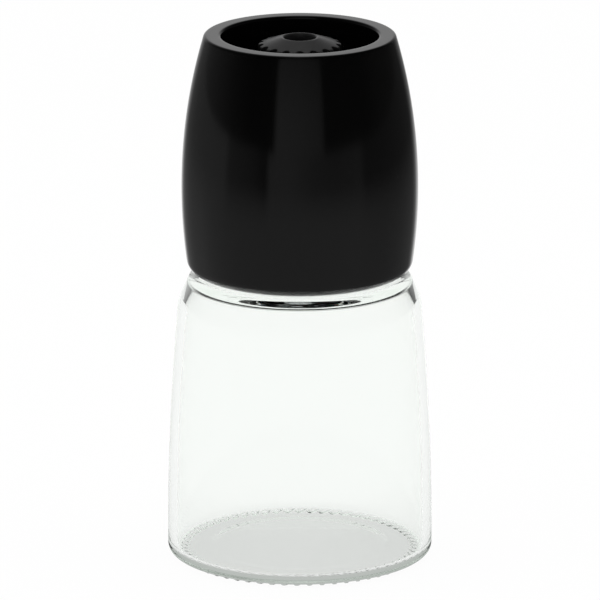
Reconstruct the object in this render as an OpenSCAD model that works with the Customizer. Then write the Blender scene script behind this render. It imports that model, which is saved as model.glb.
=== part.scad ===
// Refillable pepper mill: a glass jar with a twist-grip grinding head screwed on top of it.
// The mill stands on its jar. It is turned over to grind, and the pepper falls out of the recess in the head.
// Frame: +Z up, origin in the middle of the knurled ring that the jar stands on.

/* [Jar] */
// Widest diameter of the jar
jar_d = 70; // [68:0.5:74]
// Height of the jar's shoulder above the table
jar_h = 76.7; // [72:0.1:80]
// Glass thickness of the jar's side wall
glass_wall = 2.4; // [2:0.1:3]
// Glass thickness of the jar's floor
glass_floor = 2; // [1.8:0.1:4]
// Rise of the hollow underside at its middle
push_up = 0.5; // [0.3:0.05:0.8]
// Number of knurls on the ring that the jar stands on
knurl_count = 60; // [40:2:64]
// Height that a knurl stands out of the glass
knurl_h = 0.7; // [0.5:0.05:0.9]

/* [Jar neck] */
// Diameter of the neck below its thread
neck_d = 37.2; // [36.6:0.1:37.8]
// Height of the neck above the shoulder
neck_h = 13.5; // [12.75:0.25:15]
// Diameter of the mouth
mouth_d = 31.6; // [30:0.2:32]
// Rise of the neck thread in one turn
jar_pitch = 3.6; // [3.4:0.1:3.8]
// Height of the thread ridge
jar_ridge = 1.1; // [0.9:0.05:1.2]
// Length of the thread in turns
jar_turns = 1.5; // [1.25:0.25:1.75]

/* [Grip shell] */
// Widest diameter of the shell
shell_d = 62.3; // [61:0.1:66]
// Height of the shell
shell_h = 63.8; // [63:0.2:68]
// Radius of the barrel curve
barrel_r = 144.5; // [138:0.5:200]
// Height of the widest place above the shell's foot
waist_h = 22.6; // [20:0.2:23.6]
// Radius of the shell's bottom edge
foot_r = 3.8; // [3:0.1:4]
// Diameter of the recess in the top
recess_d = 41.2; // [39:0.2:42]
// Depth of the recess
recess_depth = 15.2; // [14.6:0.2:16]
// Wall thickness of the shell at its widest place
waist_wall = 5.6; // [5:0.1:6]
// Width of the ring that keeps the housing in the shell
keeper_w = 3; // [2.6:0.1:3.2]

/* [Grinder] */
// Outside diameter of the ring burr
ring_d = 29.2; // [28.4:0.1:30]
// Height of the ring burr
ring_h = 12.3; // [11.5:0.1:13]
// Widest diameter of the cone burr
cone_d = 21.2; // [20:0.1:22]
// Height of the cone burr
cone_h = 18.1; // [17:0.1:19]
// Grinding gap between the burrs, square to the cone
grind_gap = 0.6; // [0.55:0.05:0.8]
// Number of fine teeth on each burr
fine_teeth = 30; // [24:2:36]
// Number of coarse cutters on each burr
coarse_teeth = 9; // [6:1:10]
// Width across the flats of the spindle's square shank
shank_w = 4; // [3.6:0.1:4.2]
// Diameter of the spindle's thread
screw_d = 4.9; // [4.7:0.1:5]
// Rise of the spindle's thread in one turn
screw_pitch = 0.8; // [0.7:0.1:0.9]

/* [Adjusting knob] */
// Diameter of the knob
knob_d = 21.8; // [20:0.2:24]
// Number of finger flutes
flute_count = 18; // [12:1:20]
// Diameter of the hole in the knob's top
knob_hole_d = 8.3; // [8:0.1:9]
// Distance from the shell's rim down to the top of the knob
knob_drop = 0.6; // [0.2:0.1:1.2]

/* [Fits] */
// Gap between pieces that turn past each other
run_gap = 0.3; // [0.25:0.05:0.4]
// Gap at a seat that a piece drops into
seat_gap = 0.1; // [0.05:0.05:0.15]
// Gap all round a shaft that turns in its bore
shaft_gap = 0.1; // [0.05:0.01:0.1]

/* [Hidden] */
$fn = 96;
over = 0.05;    // how far a cutter runs past a face

glass = [0.93, 0.96, 0.93, 0.35];
black = [0.05, 0.05, 0.05];
charcoal = [0.14, 0.14, 0.15];
ceramic = [0.93, 0.91, 0.86];
steel = [0.72, 0.73, 0.75];
brass = [0.8, 0.66, 0.33];
silicone = [0.86, 0.86, 0.84];
acetal = [0.9, 0.9, 0.88];

// Radii that more than one piece uses.
jar_r = jar_d / 2;
neck_r = neck_d / 2;
mouth_r = mouth_d / 2;
shell_r = shell_d / 2;
recess_r = recess_d / 2;
wall_r = shell_r - waist_wall;       // inside of the shell above its foot
ring_r = ring_d / 2;
cone_r = cone_d / 2;
knob_r = knob_d / 2;
screw_r = screw_d / 2;
knob_hole_r = knob_hole_d / 2;

// Heights, from the table up.
foot_z = knurl_h;                       // glass that the knurls stand out of
lip_z = jar_h + neck_h;
gasket_t = 1.4;
plate_z = lip_z + gasket_t + 2 * seat_gap;  // underside of the collar's top plate
plate_t = 2.6;
plate_top_z = plate_z + plate_t;
glide_t = 0.6;
deck_z = plate_top_z + glide_t + run_gap;   // underside of the housing's deck
deck_t = 2.6;
shell_z = jar_h + 0.6;                  // the shell's foot runs clear of the glass
top_z = shell_z + shell_h;
recess_z = top_z - recess_depth;        // recess floor
cup_floor_t = 2;
ceiling_z = recess_z - cup_floor_t;     // underside of the recess floor
cushion_t = 0.5;
ring_z = ceiling_z - cushion_t - ring_h;
cone_top_z = ring_z + ring_h;
cone_z = cone_top_z - cone_h;
flange_t = 1.6;
hub_top_z = cone_top_z + flange_t;
click_t = 0.5;
nut_z = hub_top_z + click_t + shaft_gap;
nut_h = 6;
shank_top_z = nut_z - screw_pitch - run_gap;    // the knob can turn down by one turn
spindle_top_z = nut_z + nut_h + screw_pitch + 1.7;

// Points along a circular arc from angle a0 to angle a1.
function arc(c, r, a0, a1, n = 8) =
    [for (i = [0:n]) let (a = a0 + (a1 - a0) * i / n) c + r * [cos(a), sin(a)]];
function reversed(list) = [for (i = [len(list) - 1:-1:0]) list[i]];

module turned(outline) {
    rotate_extrude() polygon(outline);
}

module tube(outer, inner, z0, z1) {
    difference() {
        translate([0, 0, z0]) cylinder(r = outer, h = z1 - z0);
        translate([0, 0, z0 - over]) cylinder(r = inner, h = z1 - z0 + 2 * over);
    }
}

// A helical ridge. Its section is a list of [radius, height] points.
// Both ends fade into the wall at fade_r.
module helix_ridge(section, pitch, turns, fade_r, steps) {
    n = ceil(turns * steps);
    m = len(section);
    fade_steps = 5;
    points = [for (i = [0:n])
        let (a = 360 * turns * i / n, grow = max(0.04, min(1, i / fade_steps, (n - i) / fade_steps)))
        for (p = section)
            let (r = fade_r + (p[0] - fade_r) * grow)
            [r * cos(a), r * sin(a), p[1] + pitch * turns * i / n]];
    sides = [for (i = [0:n - 1], j = [0:m - 1])
        let (a = i * m + j, b = i * m + (j + 1) % m)
        each [[a, b, a + m], [b, b + m, a + m]]];
    ends = [[for (j = [m - 1:-1:0]) j], [for (j = [0:m - 1]) n * m + j]];
    polyhedron(points, concat(sides, ends), convexity = 10);
}

/* ---- Jar ---- */

belly_r = 713;      // long curve of the side wall
shoulder_r = 9;
shoulder_turn = 24; // lean of the glass where the shoulder runs into its corner
corner_r = 2.2;
cone_len = 5.4;     // straight part of the shoulder
wall_tilt = 5;      // lean of the side wall at the shoulder
heel_r = 2.2;
floor_round = 1.5;
inner_corner_r = 1.6;
ledge_t = 3;        // glass under the top of the shoulder
stand_w = 6.4;      // from the widest place in to the edge of the ring that the jar stands on
neck_round = 0.8;
throat_round = 2;
hollow_in = 7.1;    // from the ring that the jar stands on in to the edge of the hollow underside
hollow_rim = 3.5;   // width of the soft step round the hollow
hollow_step = 0.2;

// The side wall's curve is struck from belly_c, and the shoulder's from shoulder_c.
shoulder_rise = shoulder_r * (sin(shoulder_turn) - sin(wall_tilt)) + cone_len * cos(shoulder_turn);
shoulder_end_z = jar_h - corner_r * (1 - sin(shoulder_turn));
belly_c = [jar_r - belly_r, shoulder_end_z - shoulder_rise - belly_r * sin(wall_tilt)];
shoulder_c = belly_c + (belly_r - shoulder_r) * [cos(wall_tilt), sin(wall_tilt)];
slope = cone_len * [-sin(shoulder_turn), cos(shoulder_turn)];
corner_c = shoulder_c + (shoulder_r - corner_r) * [cos(shoulder_turn), sin(shoulder_turn)] + slope;
heel_a = asin((foot_z + heel_r - belly_c[1]) / (belly_r - heel_r));
heel_c = belly_c + (belly_r - heel_r) * [cos(heel_a), sin(heel_a)];
floor_z = foot_z + glass_floor;
floor_a = asin((floor_z + floor_round - belly_c[1]) / (belly_r - glass_wall - floor_round));
floor_c = belly_c + (belly_r - glass_wall - floor_round) * [cos(floor_a), sin(floor_a)];
inner_slope = slope * 0.75;
inner_corner_c = shoulder_c + inner_slope
    + (shoulder_r - glass_wall - inner_corner_r) * [cos(shoulder_turn), sin(shoulder_turn)];

// The underside rises in a soft step and then as a low dome.
stand_r = jar_r - stand_w;
hollow_r = stand_r - hollow_in;
underside = concat(
    [for (i = [0:8]) let (t = i / 8)
        [hollow_r * t, foot_z + hollow_step + (push_up - hollow_step) * (1 - t * t)]],
    [for (i = [1:6]) let (t = i / 6)
        [hollow_r + hollow_rim * t, foot_z + hollow_step * (1 + cos(180 * t)) / 2]],
    [[stand_r, foot_z]]
);

jar_outline = concat(
    underside,
    arc(heel_c, heel_r, -90, heel_a, 6),
    arc(belly_c, belly_r, heel_a, wall_tilt, 16),
    arc(shoulder_c, shoulder_r, wall_tilt, shoulder_turn, 6),
    arc(corner_c, corner_r, shoulder_turn, 90, 6),
    arc([neck_r + neck_round, jar_h + neck_round], neck_round, 270, 180, 4),
    arc([neck_r - neck_round, lip_z - neck_round], neck_round, 0, 90, 4),
    arc([mouth_r + neck_round, lip_z - neck_round], neck_round, 90, 180, 4),
    arc([mouth_r + throat_round, jar_h - ledge_t + throat_round], throat_round, 180, 270, 5),
    arc([inner_corner_c[0], jar_h - ledge_t - inner_corner_r], inner_corner_r, 90, shoulder_turn, 5),
    arc(shoulder_c, shoulder_r - glass_wall, shoulder_turn, wall_tilt, 6),
    arc(belly_c, belly_r - glass_wall, wall_tilt, floor_a, 16),
    arc(floor_c, floor_round, floor_a, -90, 6),
    [[0, floor_z]]
);

knurl_r = 1;
knurl_len = 4.4;
knurl_slant = 28;   // turn of a knurl off the radial line
module knurls() {
    for (i = [0:knurl_count - 1])
        rotate(i * 360 / knurl_count)
            translate([jar_r - stand_w / 2 - 0.4, 0, foot_z - knurl_h + knurl_r - over])
                rotate([0, 90, -knurl_slant])
                    cylinder(r = knurl_r, h = knurl_len, center = true, $fn = 32);
}

ridge_root = 2;     // width of a thread ridge at its wall
ridge_crest = 0.8;
ridge_sink = 0.4;   // how far a ridge is rooted in its wall
ridge_z = jar_h + 5.2;
thread_steps = 40;
module glass_jar() {
    section = [[neck_r - ridge_sink, -ridge_root / 2], [neck_r + jar_ridge, -ridge_crest / 2],
               [neck_r + jar_ridge, ridge_crest / 2], [neck_r - ridge_sink, ridge_root / 2]];
    color(glass) union() {
        difference() {
            union() {
                turned(jar_outline);
                knurls();
            }
            translate([0, 0, -knurl_r]) cylinder(r = jar_r, h = knurl_r);
        }
        translate([0, 0, ridge_z])
            helix_ridge(section, jar_pitch, jar_turns, neck_r - ridge_sink, thread_steps);
    }
}

module jar_gasket() {
    color(silicone)
        tube(neck_r + 0.4, mouth_r + 0.5, lip_z + seat_gap, lip_z + seat_gap + gasket_t);
}

/* ---- Collar: screws on the neck and stays still with the jar while the head is turned ---- */

collar_in_r = neck_r + jar_ridge + run_gap;
collar_r = collar_in_r + 2;
collar_z = jar_h + 2.2;
bearing_r = collar_r + 1.6;
core_r = collar_r + run_gap + keeper_w + seat_gap;  // inside of the shell's foot, round the retaining ring
bearing_z = jar_h + 8.4;
bearing_t = 2;
throat_r = mouth_r - 1.3;       // way through the collar
bridge_r = throat_r + 2.7;
bridge_t = 1.6;
bridge_z = plate_top_z - bridge_t;
arm_count = 3;
arm_w = 4;
lug_w = 5;
lug_out = 1.4;

module bridge_lugs(gap) {
    for (i = [0:arm_count - 1])
        rotate(i * 360 / arm_count)
            translate([bridge_r - 2, -lug_w / 2 - gap, bridge_z])
                cube([2 + lug_out + gap, lug_w + 2 * gap, bridge_t]);
}

module neck_collar() {
    inner = collar_in_r - jar_ridge;
    section = [[collar_in_r + ridge_sink, ridge_root / 2], [inner, ridge_crest / 2],
               [inner, -ridge_crest / 2], [collar_in_r + ridge_sink, -ridge_root / 2]];
    color(charcoal) union() {
        difference() {
            union() {
                translate([0, 0, collar_z]) cylinder(r = collar_r, h = plate_top_z - collar_z);
                translate([0, 0, bearing_z]) cylinder(r = bearing_r, h = bearing_t);
            }
            translate([0, 0, collar_z - over]) cylinder(r = collar_in_r, h = plate_z - collar_z + over);
            translate([0, 0, plate_z - over]) cylinder(r = throat_r, h = plate_t + 2 * over);
            translate([0, 0, bridge_z]) cylinder(r = bridge_r + seat_gap, h = bridge_t + over);
            translate([0, 0, over]) bridge_lugs(seat_gap);
            bridge_lugs(seat_gap);
        }
        translate([0, 0, ridge_z - jar_pitch / 2])
            helix_ridge(section, jar_pitch, jar_turns, collar_in_r + ridge_sink, thread_steps);
    }
}

module square_hole(z0, z1) {
    w = shank_w + 2 * seat_gap;
    translate([-w / 2, -w / 2, z0]) cube([w, w, z1 - z0]);
}

bridge_hub_r = 5.6;
module drive_bridge() {
    color(steel) difference() {
        union() {
            tube(bridge_r, throat_r, bridge_z, plate_top_z);
            translate([0, 0, bridge_z]) cylinder(r = bridge_hub_r, h = bridge_t);
            for (i = [0:arm_count - 1])
                rotate(i * 360 / arm_count)
                    translate([0, -arm_w / 2, bridge_z]) cube([throat_r + 1, arm_w, bridge_t]);
            bridge_lugs(0);
        }
        square_hole(bridge_z - over, plate_top_z + over);
    }
}

module glide_ring() {
    color(acetal) tube(collar_r - 0.2, bridge_r + lug_out + 3 * seat_gap, plate_top_z, plate_top_z + glide_t);
}

/* ---- Spindle: square through the bridge and the cone burr, threaded for the knob ---- */

spindle_foot_r = 4.4;
spindle_foot_t = 1.6;
thread_core_r = screw_r - 0.4;
screw_hole_r = 1.15;
washer_t = 0.6;
washer_r = 5;
shank_hole_r = shank_w * 0.75;   // round hole that the square shank goes through
end_washer_r = 3.4;
end_head_r = 2.7;
end_head_t = 1.8;
end_screw_len = 6;
spindle_steps = 24;

// Thread that fits between wall radius r and crest radius r + 0.4. A negative way makes it point inwards.
thread_h = 0.4;
thread_sink = 0.2;
thread_root = 0.52;         // width of the ridge where it is rooted, and at its tip
thread_crest = 0.12;
module fine_thread(r, way, turns) {
    root = way * thread_root / 2;
    crest = way * thread_crest / 2;
    wall = r - way * thread_sink;
    tip = r + way * thread_h;
    helix_ridge([[wall, -root], [tip, -crest], [tip, crest], [wall, root]],
                screw_pitch, turns, wall, spindle_steps);
}

module spindle() {
    foot_z0 = bridge_z - seat_gap - spindle_foot_t;
    turns = (spindle_top_z - shank_top_z - 1) / screw_pitch;
    color(steel) difference() {
        union() {
            translate([0, 0, foot_z0]) cylinder(r = spindle_foot_r, h = spindle_foot_t);
            translate([-shank_w / 2, -shank_w / 2, foot_z0 + over])
                cube([shank_w, shank_w, shank_top_z - foot_z0 - over]);
            translate([0, 0, shank_top_z - 1])
                cylinder(r = thread_core_r, h = spindle_top_z - shank_top_z + 1);
            translate([0, 0, shank_top_z + 0.5]) fine_thread(thread_core_r, 1, turns);
        }
        translate([0, 0, spindle_top_z - end_screw_len - 1])
            cylinder(r = screw_hole_r + over, h = end_screw_len + 1 + over);
    }
}

module spindle_washer() {
    color(steel) tube(washer_r, shank_hole_r, plate_top_z, plate_top_z + washer_t);
}

wire_r = 0.4;
coil_r = 3.9;
coil_turns = 7;
spring_z0 = plate_top_z + washer_t;
spring_z1 = cone_z - over;
module burr_spring() {
    steps = 24;
    sides = 8;
    n = coil_turns * steps;
    rise = spring_z1 - spring_z0 - 2 * wire_r;
    // The first and the last turn lie almost flat, as the closed ends of a spring do.
    points = [for (i = [0:n])
        let (t = i / n, a = 360 * coil_turns * t, e = 1 / coil_turns,
             share = t < e ? 0.1 * t / e
                 : t > 1 - e ? 1 - 0.1 * (1 - t) / e
                 : 0.1 + 0.8 * (t - e) / (1 - 2 * e))
        for (k = [0:sides - 1])
            let (b = 360 * k / sides, r = coil_r + wire_r * cos(b))
            [r * cos(a), r * sin(a), spring_z0 + wire_r + rise * share + wire_r * sin(b)]];
    faces = [for (i = [0:n - 1], k = [0:sides - 1])
        let (a = i * sides + k, b = i * sides + (k + 1) % sides)
        each [[a, a + sides, b], [b, a + sides, b + sides]]];
    ends = [[for (k = [0:sides - 1]) k], [for (k = [sides - 1:-1:0]) n * sides + k]];
    color(steel) polyhedron(points, concat(faces, ends), convexity = 12);
}

module end_washer() {
    color(steel) tube(end_washer_r, screw_hole_r + 0.2, spindle_top_z, spindle_top_z + washer_t);
}

module cross_recess(r, depth, z) {
    for (a = [0, 90])
        rotate(a) translate([-r, -0.4, z - depth]) cube([2 * r, 0.8, depth + over]);
}

module end_screw() {
    head_z = spindle_top_z + washer_t;
    color(steel) difference() {
        union() {
            translate([0, 0, head_z]) cylinder(r = end_head_r, h = end_head_t);
            translate([0, 0, head_z - end_screw_len]) cylinder(r = screw_hole_r, h = end_screw_len + over);
        }
        cross_recess(1.5, 1, head_z + end_head_t);
    }
}

/* ---- Shell: barrel, rim and recess in one moulding ---- */

cup_wall = 1.8;
shell_wall = 2.2;
rim_wall = 4;       // solid plastic under the rim
cavity_w = 0.5;     // narrowest place of the hollow between the cup and the wall
foot_flat = 0.1;    // narrowest flat under the foot
exit_r = cone_r + 2.6;
cup_r = recess_r + cup_wall;
groove_z = bearing_z - run_gap - 1.9;
groove_t = 1.5;
groove_in = 0.9;
lead = 0.2;         // bevel at the way in for the housing
boss_count = 3;
boss_r = 2.6;
pot_in_r = ring_r + seat_gap;   // the housing's pot, which the bosses stand round
pot_r = pot_in_r + 1.8;
boss_pos = pot_r + run_gap + boss_r;
pilot_r = 1.25;
pilot_depth = 12;

barrel_c = [shell_r - barrel_r, shell_z + waist_h];
// The roundings keep their radii for as long as the walls that they round are wide enough.
foot_room = barrel_r * barrel_r - waist_h * waist_h - pow(core_r + lead + foot_flat - barrel_c[0], 2);
foot_round = min(foot_r, foot_room / (2 * (barrel_r - waist_h)));
rim_w = barrel_c[0] + sqrt(pow(barrel_r, 2) - pow(top_z - barrel_c[1], 2)) - recess_r;
rim_share = 0.45;
rim_out_r = min(0.9, rim_w * rim_share);
rim_in_r = min(0.8, rim_w * rim_share);
foot_a = asin((foot_round - waist_h) / (barrel_r - foot_round));
foot_c = barrel_c + (barrel_r - foot_round) * [cos(foot_a), sin(foot_a)];
rim_a = asin((top_z - rim_out_r - barrel_c[1]) / (barrel_r - rim_out_r));
rim_c = barrel_c + (barrel_r - rim_out_r) * [cos(rim_a), sin(rim_a)];

// Hollow between the cup and the wall. Where the two meet there is none.
inner_barrel_r = barrel_r - shell_wall;
has_cavity = wall_r > cup_r + cavity_w;
wall_a0 = acos((wall_r - barrel_c[0]) / inner_barrel_r);
wall_a1 = min(asin((top_z - rim_wall - barrel_c[1]) / inner_barrel_r),
              acos((cup_r + cavity_w - barrel_c[0]) / inner_barrel_r));
cavity_top_z = barrel_c[1] + inner_barrel_r * sin(wall_a1);
cavity = concat([[cup_r, ceiling_z], [cup_r, cavity_top_z]],
                reversed(arc(barrel_c, inner_barrel_r, wall_a0, wall_a1, 6)));
band_z = deck_z + deck_t + seat_gap;    // top of the foot's bore

shell_outline = concat(
    arc(foot_c, foot_round, -90, foot_a, 8),
    arc(barrel_c, barrel_r, foot_a, rim_a, 28),
    arc(rim_c, rim_out_r, rim_a, 90, 6),
    arc([recess_r + rim_in_r, top_z - rim_in_r], rim_in_r, 90, 180, 6),
    arc([recess_r - 1, recess_z + 1], 1, 0, -90, 4),
    [[exit_r, recess_z], [exit_r, ceiling_z]],
    has_cavity ? cavity : [[wall_r, ceiling_z]],
    abs(wall_r - core_r) < over ? [] : [[wall_r, band_z], [core_r, band_z]],
    [[core_r, groove_z + groove_t], [core_r + groove_in, groove_z + groove_t],
     [core_r + groove_in, groove_z], [core_r, groove_z], [core_r, shell_z + lead], [core_r + lead, shell_z]]
);

module at_bosses() {
    for (i = [0:boss_count - 1])
        rotate(90 + i * 360 / boss_count) translate([boss_pos, 0, 0]) children();
}

module outer_shell() {
    color(black) difference() {
        union() {
            turned(shell_outline);
            at_bosses() translate([0, 0, band_z]) cylinder(r = boss_r, h = ceiling_z + 1 - band_z);
        }
        at_bosses() translate([0, 0, band_z - over]) cylinder(r = pilot_r, h = pilot_depth + over);
    }
}

/* ---- Housing: holds the ring burr against the recess floor and runs on the collar ---- */

ledge_r = ring_r - 1.2;
skirt_in_r = collar_r + shaft_gap;
skirt_h = 3;
burr_lugs = 3;
burr_lug_w = 3;
burr_lug_out = 1.1;
rib_count = 6;
head_r = 2.4;
head_t = 1.2;
head_sink = 0.4;   // the heads lie this far inside the deck, clear of the glide ring

module burr_keys(gap, z0, z1) {
    for (i = [0:burr_lugs - 1])
        rotate(30 + i * 360 / burr_lugs)
            translate([ring_r - 1, -burr_lug_w / 2 - gap, z0])
                cube([1 + burr_lug_out + gap, burr_lug_w + 2 * gap, z1 - z0]);
}

module grinder_housing() {
    pot_top_z = ceiling_z - seat_gap;
    color(charcoal) difference() {
        union() {
            translate([0, 0, deck_z]) cylinder(r = core_r - seat_gap, h = deck_t);
            tube(skirt_in_r + 1.8, skirt_in_r, deck_z - skirt_h, deck_z + over);
            translate([0, 0, deck_z]) cylinder(r = pot_r, h = pot_top_z - deck_z);
            for (i = [0:rib_count - 1])
                rotate(i * 360 / rib_count) rotate([90, 0, 0])
                    translate([pot_r - 0.5, deck_z + deck_t - over, -0.7])
                        linear_extrude(1.4) polygon([[0, 0], [5, 0], [0, 12]]);
        }
        translate([0, 0, deck_z - over]) cylinder(r = ledge_r, h = pot_top_z - deck_z + 2 * over);
        translate([0, 0, ring_z - seat_gap]) cylinder(r = pot_in_r, h = pot_top_z - ring_z + 1);
        burr_keys(seat_gap, ring_z - seat_gap, pot_top_z + over);
        at_bosses() {
            translate([0, 0, deck_z - over]) cylinder(r = pilot_r + seat_gap, h = deck_t + 2 * over);
            translate([0, 0, deck_z - over]) cylinder(r = head_r + seat_gap, h = head_sink + head_t + over);
        }
    }
}

lug_count = 6;
keeper_t = 2.4;
keeper_lug_w = 6;
keeper_lug_root = 1.4;      // how far inside the ring's edge a lug starts
keeper_lug_gap = 0.3;
module retaining_ring() {
    ring_top = bearing_z - run_gap;
    color(charcoal) union() {
        tube(core_r - seat_gap, collar_r + run_gap, ring_top - keeper_t, ring_top);
        for (i = [0:lug_count - 1])
            rotate(i * 360 / lug_count)
                translate([core_r - keeper_lug_root, -keeper_lug_w / 2, groove_z + seat_gap])
                    cube([keeper_lug_root + groove_in - keeper_lug_gap, keeper_lug_w,
                          groove_t - 2 * seat_gap]);
    }
}

housing_screw_len = 12;
module housing_screw() {
    color(steel) translate([0, 0, deck_z + head_sink]) difference() {
        union() {
            cylinder(r = head_r, h = head_t);
            cylinder(r = pilot_r - over, h = housing_screw_len);
        }
        rotate([180, 0, 0]) cross_recess(1.4, 0.8, 0);
    }
}
module housing_screw_at(i) {
    rotate(90 + i * 360 / boss_count) translate([boss_pos, 0, 0]) housing_screw();
}
module housing_screw_1() { housing_screw_at(0); }
module housing_screw_2() { housing_screw_at(1); }
module housing_screw_3() { housing_screw_at(2); }

module burr_cushion() {
    color(silicone) tube(ring_r - 0.2, exit_r + 0.3, ceiling_z - cushion_t, ceiling_z);
}

/* ---- Burrs: the cone widens towards the recess, and pulling it down closes the gap ---- */

fine_h = 5.8;               // height of the fine teeth
burr_edge = 0.4;            // bevel on the burrs' edges
cone_waist_r = cone_r - 2.6;
cone_foot_r = 5.9;
fine_lean = atan((cone_r - cone_waist_r) / fine_h);
fine_top_z = cone_top_z - burr_edge;
fine_z = fine_top_z - fine_h;
radial_gap = grind_gap / cos(fine_lean);
hub_r = 3.9;
seat_r = 4.7;               // seat of the spring's upper washer, in the cone's foot
hub_key_w = 1.6;
hub_key_r = 5.2;
hub_key_h = 6;
fine_groove = 0.9;          // side of the square that a groove's V is cut with
cone_coarse_groove = 1.9;
ring_coarse_groove = 2;
fine_skew = 14;
cone_coarse_skew = 16;
ring_coarse_skew = 10;
groove_run = 1;             // how far a groove's cutter runs past both ends

// V-shaped groove along a cone, from [r0, z0] to [r1, z1], turned on its way by skew degrees.
module v_groove(r0, z0, r1, z1, wide, skew) {
    long = norm([r1 - r0, z1 - z0]);
    lean = atan2(r1 - r0, z1 - z0);
    translate([(r0 + r1) / 2, 0, (z0 + z1) / 2]) rotate([0, lean, 0]) rotate([skew, 0, 0])
        translate([0, 0, -long / 2 - groove_run]) linear_extrude(long + 2 * groove_run) rotate(45)
            square(wide, center = true);
}

module hub_keys(gap) {
    for (a = [0:120:240])
        rotate(a) translate([0, -hub_key_w / 2 - gap, cone_top_z - hub_key_h - gap])
            cube([hub_key_r + gap, hub_key_w + 2 * gap, hub_key_h + gap + over]);
}

module inner_burr() {
    color(ceramic) difference() {
        turned([[seat_r + seat_gap, cone_z],
                [cone_foot_r - burr_edge, cone_z], [cone_foot_r, cone_z + burr_edge],
                [cone_waist_r, fine_z], [cone_r, fine_top_z], [cone_r - burr_edge, cone_top_z],
                [hub_r + seat_gap, cone_top_z], [hub_r + seat_gap, cone_z + washer_t],
                [seat_r + seat_gap, cone_z + washer_t]]);
        for (i = [0:fine_teeth - 1])
            rotate(i * 360 / fine_teeth)
                v_groove(cone_waist_r + 0.2, fine_z + 0.6, cone_r + 0.2, fine_top_z, fine_groove, fine_skew);
        for (i = [0:coarse_teeth - 1])
            rotate(i * 360 / coarse_teeth)
                v_groove(cone_foot_r + 0.5, cone_z, cone_waist_r + 0.9, fine_z + 0.4,
                         cone_coarse_groove, cone_coarse_skew);
        hub_keys(seat_gap);
    }
}

module outer_burr() {
    throat = cone_waist_r + radial_gap;
    color(ceramic) difference() {
        union() {
            turned([[ledge_r - 0.6, ring_z], [ring_r - burr_edge, ring_z], [ring_r, ring_z + burr_edge],
                    [ring_r, fine_top_z], [ring_r - burr_edge, cone_top_z],
                    [cone_r + radial_gap + burr_edge, cone_top_z], [cone_r + radial_gap, fine_top_z],
                    [throat, fine_z]]);
            burr_keys(0, ring_z + 0.5, cone_top_z - 1);
        }
        for (i = [0:fine_teeth - 1])
            rotate(i * 360 / fine_teeth)
                v_groove(throat + 0.1, fine_z + 0.3, cone_r + radial_gap - 0.05, cone_top_z + 0.4,
                         fine_groove, -fine_skew);
        for (i = [0:coarse_teeth - 1])
            rotate(i * 360 / coarse_teeth)
                v_groove(ledge_r - 0.4, ring_z - 0.4, throat + 0.1, fine_z,
                         ring_coarse_groove, -ring_coarse_skew);
    }
}

module burr_hub() {
    color(charcoal) difference() {
        union() {
            translate([0, 0, cone_z + washer_t]) cylinder(r = hub_r, h = hub_top_z - cone_z - washer_t);
            translate([0, 0, cone_top_z + over]) cylinder(r = hub_r + 2.9, h = flange_t - over);
            translate([0, 0, over]) hub_keys(0);
        }
        // Above the shank the hole is round, so that the hub clears the thread wherever the knob sets it.
        square_hole(cone_z, shank_top_z - screw_pitch - run_gap);
        translate([0, 0, shank_top_z - screw_pitch - run_gap - over])
            cylinder(r = shank_hole_r, h = hub_top_z - shank_top_z + screw_pitch + run_gap + 2 * over);
    }
}

module spring_washer() {
    color(steel) tube(seat_r, shank_hole_r, cone_z, cone_z + washer_t);
}

click_count = 12;
module click_washer() {
    washer_out = hub_r + 2.5;
    color(steel) difference() {
        tube(washer_out, shank_hole_r, hub_top_z, hub_top_z + click_t);
        for (i = [0:click_count - 1])
            rotate(i * 360 / click_count) translate([washer_out, 0, hub_top_z - over])
                cylinder(r = 0.6, h = click_t + 2 * over, $fn = 24);
    }
}

/* ---- Knob ---- */

knob_top_z = top_z - knob_drop;
knob_edge_z = knob_top_z - 1.8;     // edge that the fingers turn
knob_skirt_h = 4.2;
knob_lip_r = knob_hole_r + 0.85;
stem_r = 6.6;
flute_r = 1;
flute_out = 0.25;                   // how far inside the edge a flute is centred
nut_w = 8;

module adjusting_knob() {
    color(black) difference() {
        turned(concat(
            [[0, nut_z], [stem_r - 0.4, nut_z], [stem_r, nut_z + 0.4]],
            [[stem_r, knob_edge_z - knob_skirt_h - 1], [stem_r + 1, knob_edge_z - knob_skirt_h]],
            [[knob_r - 0.4, knob_edge_z - knob_skirt_h], [knob_r, knob_edge_z - knob_skirt_h + 0.4]],
            arc([knob_r - 0.5, knob_edge_z - 0.5], 0.5, 0, 72, 4),
            [[knob_lip_r, knob_top_z - 0.05], [knob_lip_r - 0.3, knob_top_z], [0, knob_top_z]]
        ));
        translate([0, 0, nut_z + nut_h]) cylinder(r = knob_hole_r, h = knob_top_z - nut_z - nut_h + over);
        translate([0, 0, nut_z - over])
            cylinder(r = (nut_w / 2 + seat_gap) / cos(30), h = nut_h + 2 * over, $fn = 6);
        for (i = [0:flute_count - 1])
            rotate(i * 360 / flute_count - 90)
                translate([knob_r - flute_out, 0, knob_edge_z - knob_skirt_h - 1])
                    cylinder(r = flute_r, h = knob_skirt_h + 3, $fn = 32);
    }
}

module knob_nut() {
    bore = screw_r + shaft_gap;
    turns = (nut_h - 1.4) / screw_pitch;
    start_z = shank_top_z + 0.5;
    lift = ceil((nut_z + 0.6 - start_z) / screw_pitch) * screw_pitch - screw_pitch / 2;
    color(brass) union() {
        difference() {
            translate([0, 0, nut_z]) cylinder(r = nut_w / 2 / cos(30), h = nut_h, $fn = 6);
            translate([0, 0, nut_z - over]) cylinder(r = bore, h = nut_h + 2 * over);
        }
        translate([0, 0, start_z + lift]) fine_thread(bore, -1, turns);
    }
}

/* ---- Pieces ---- */

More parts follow.
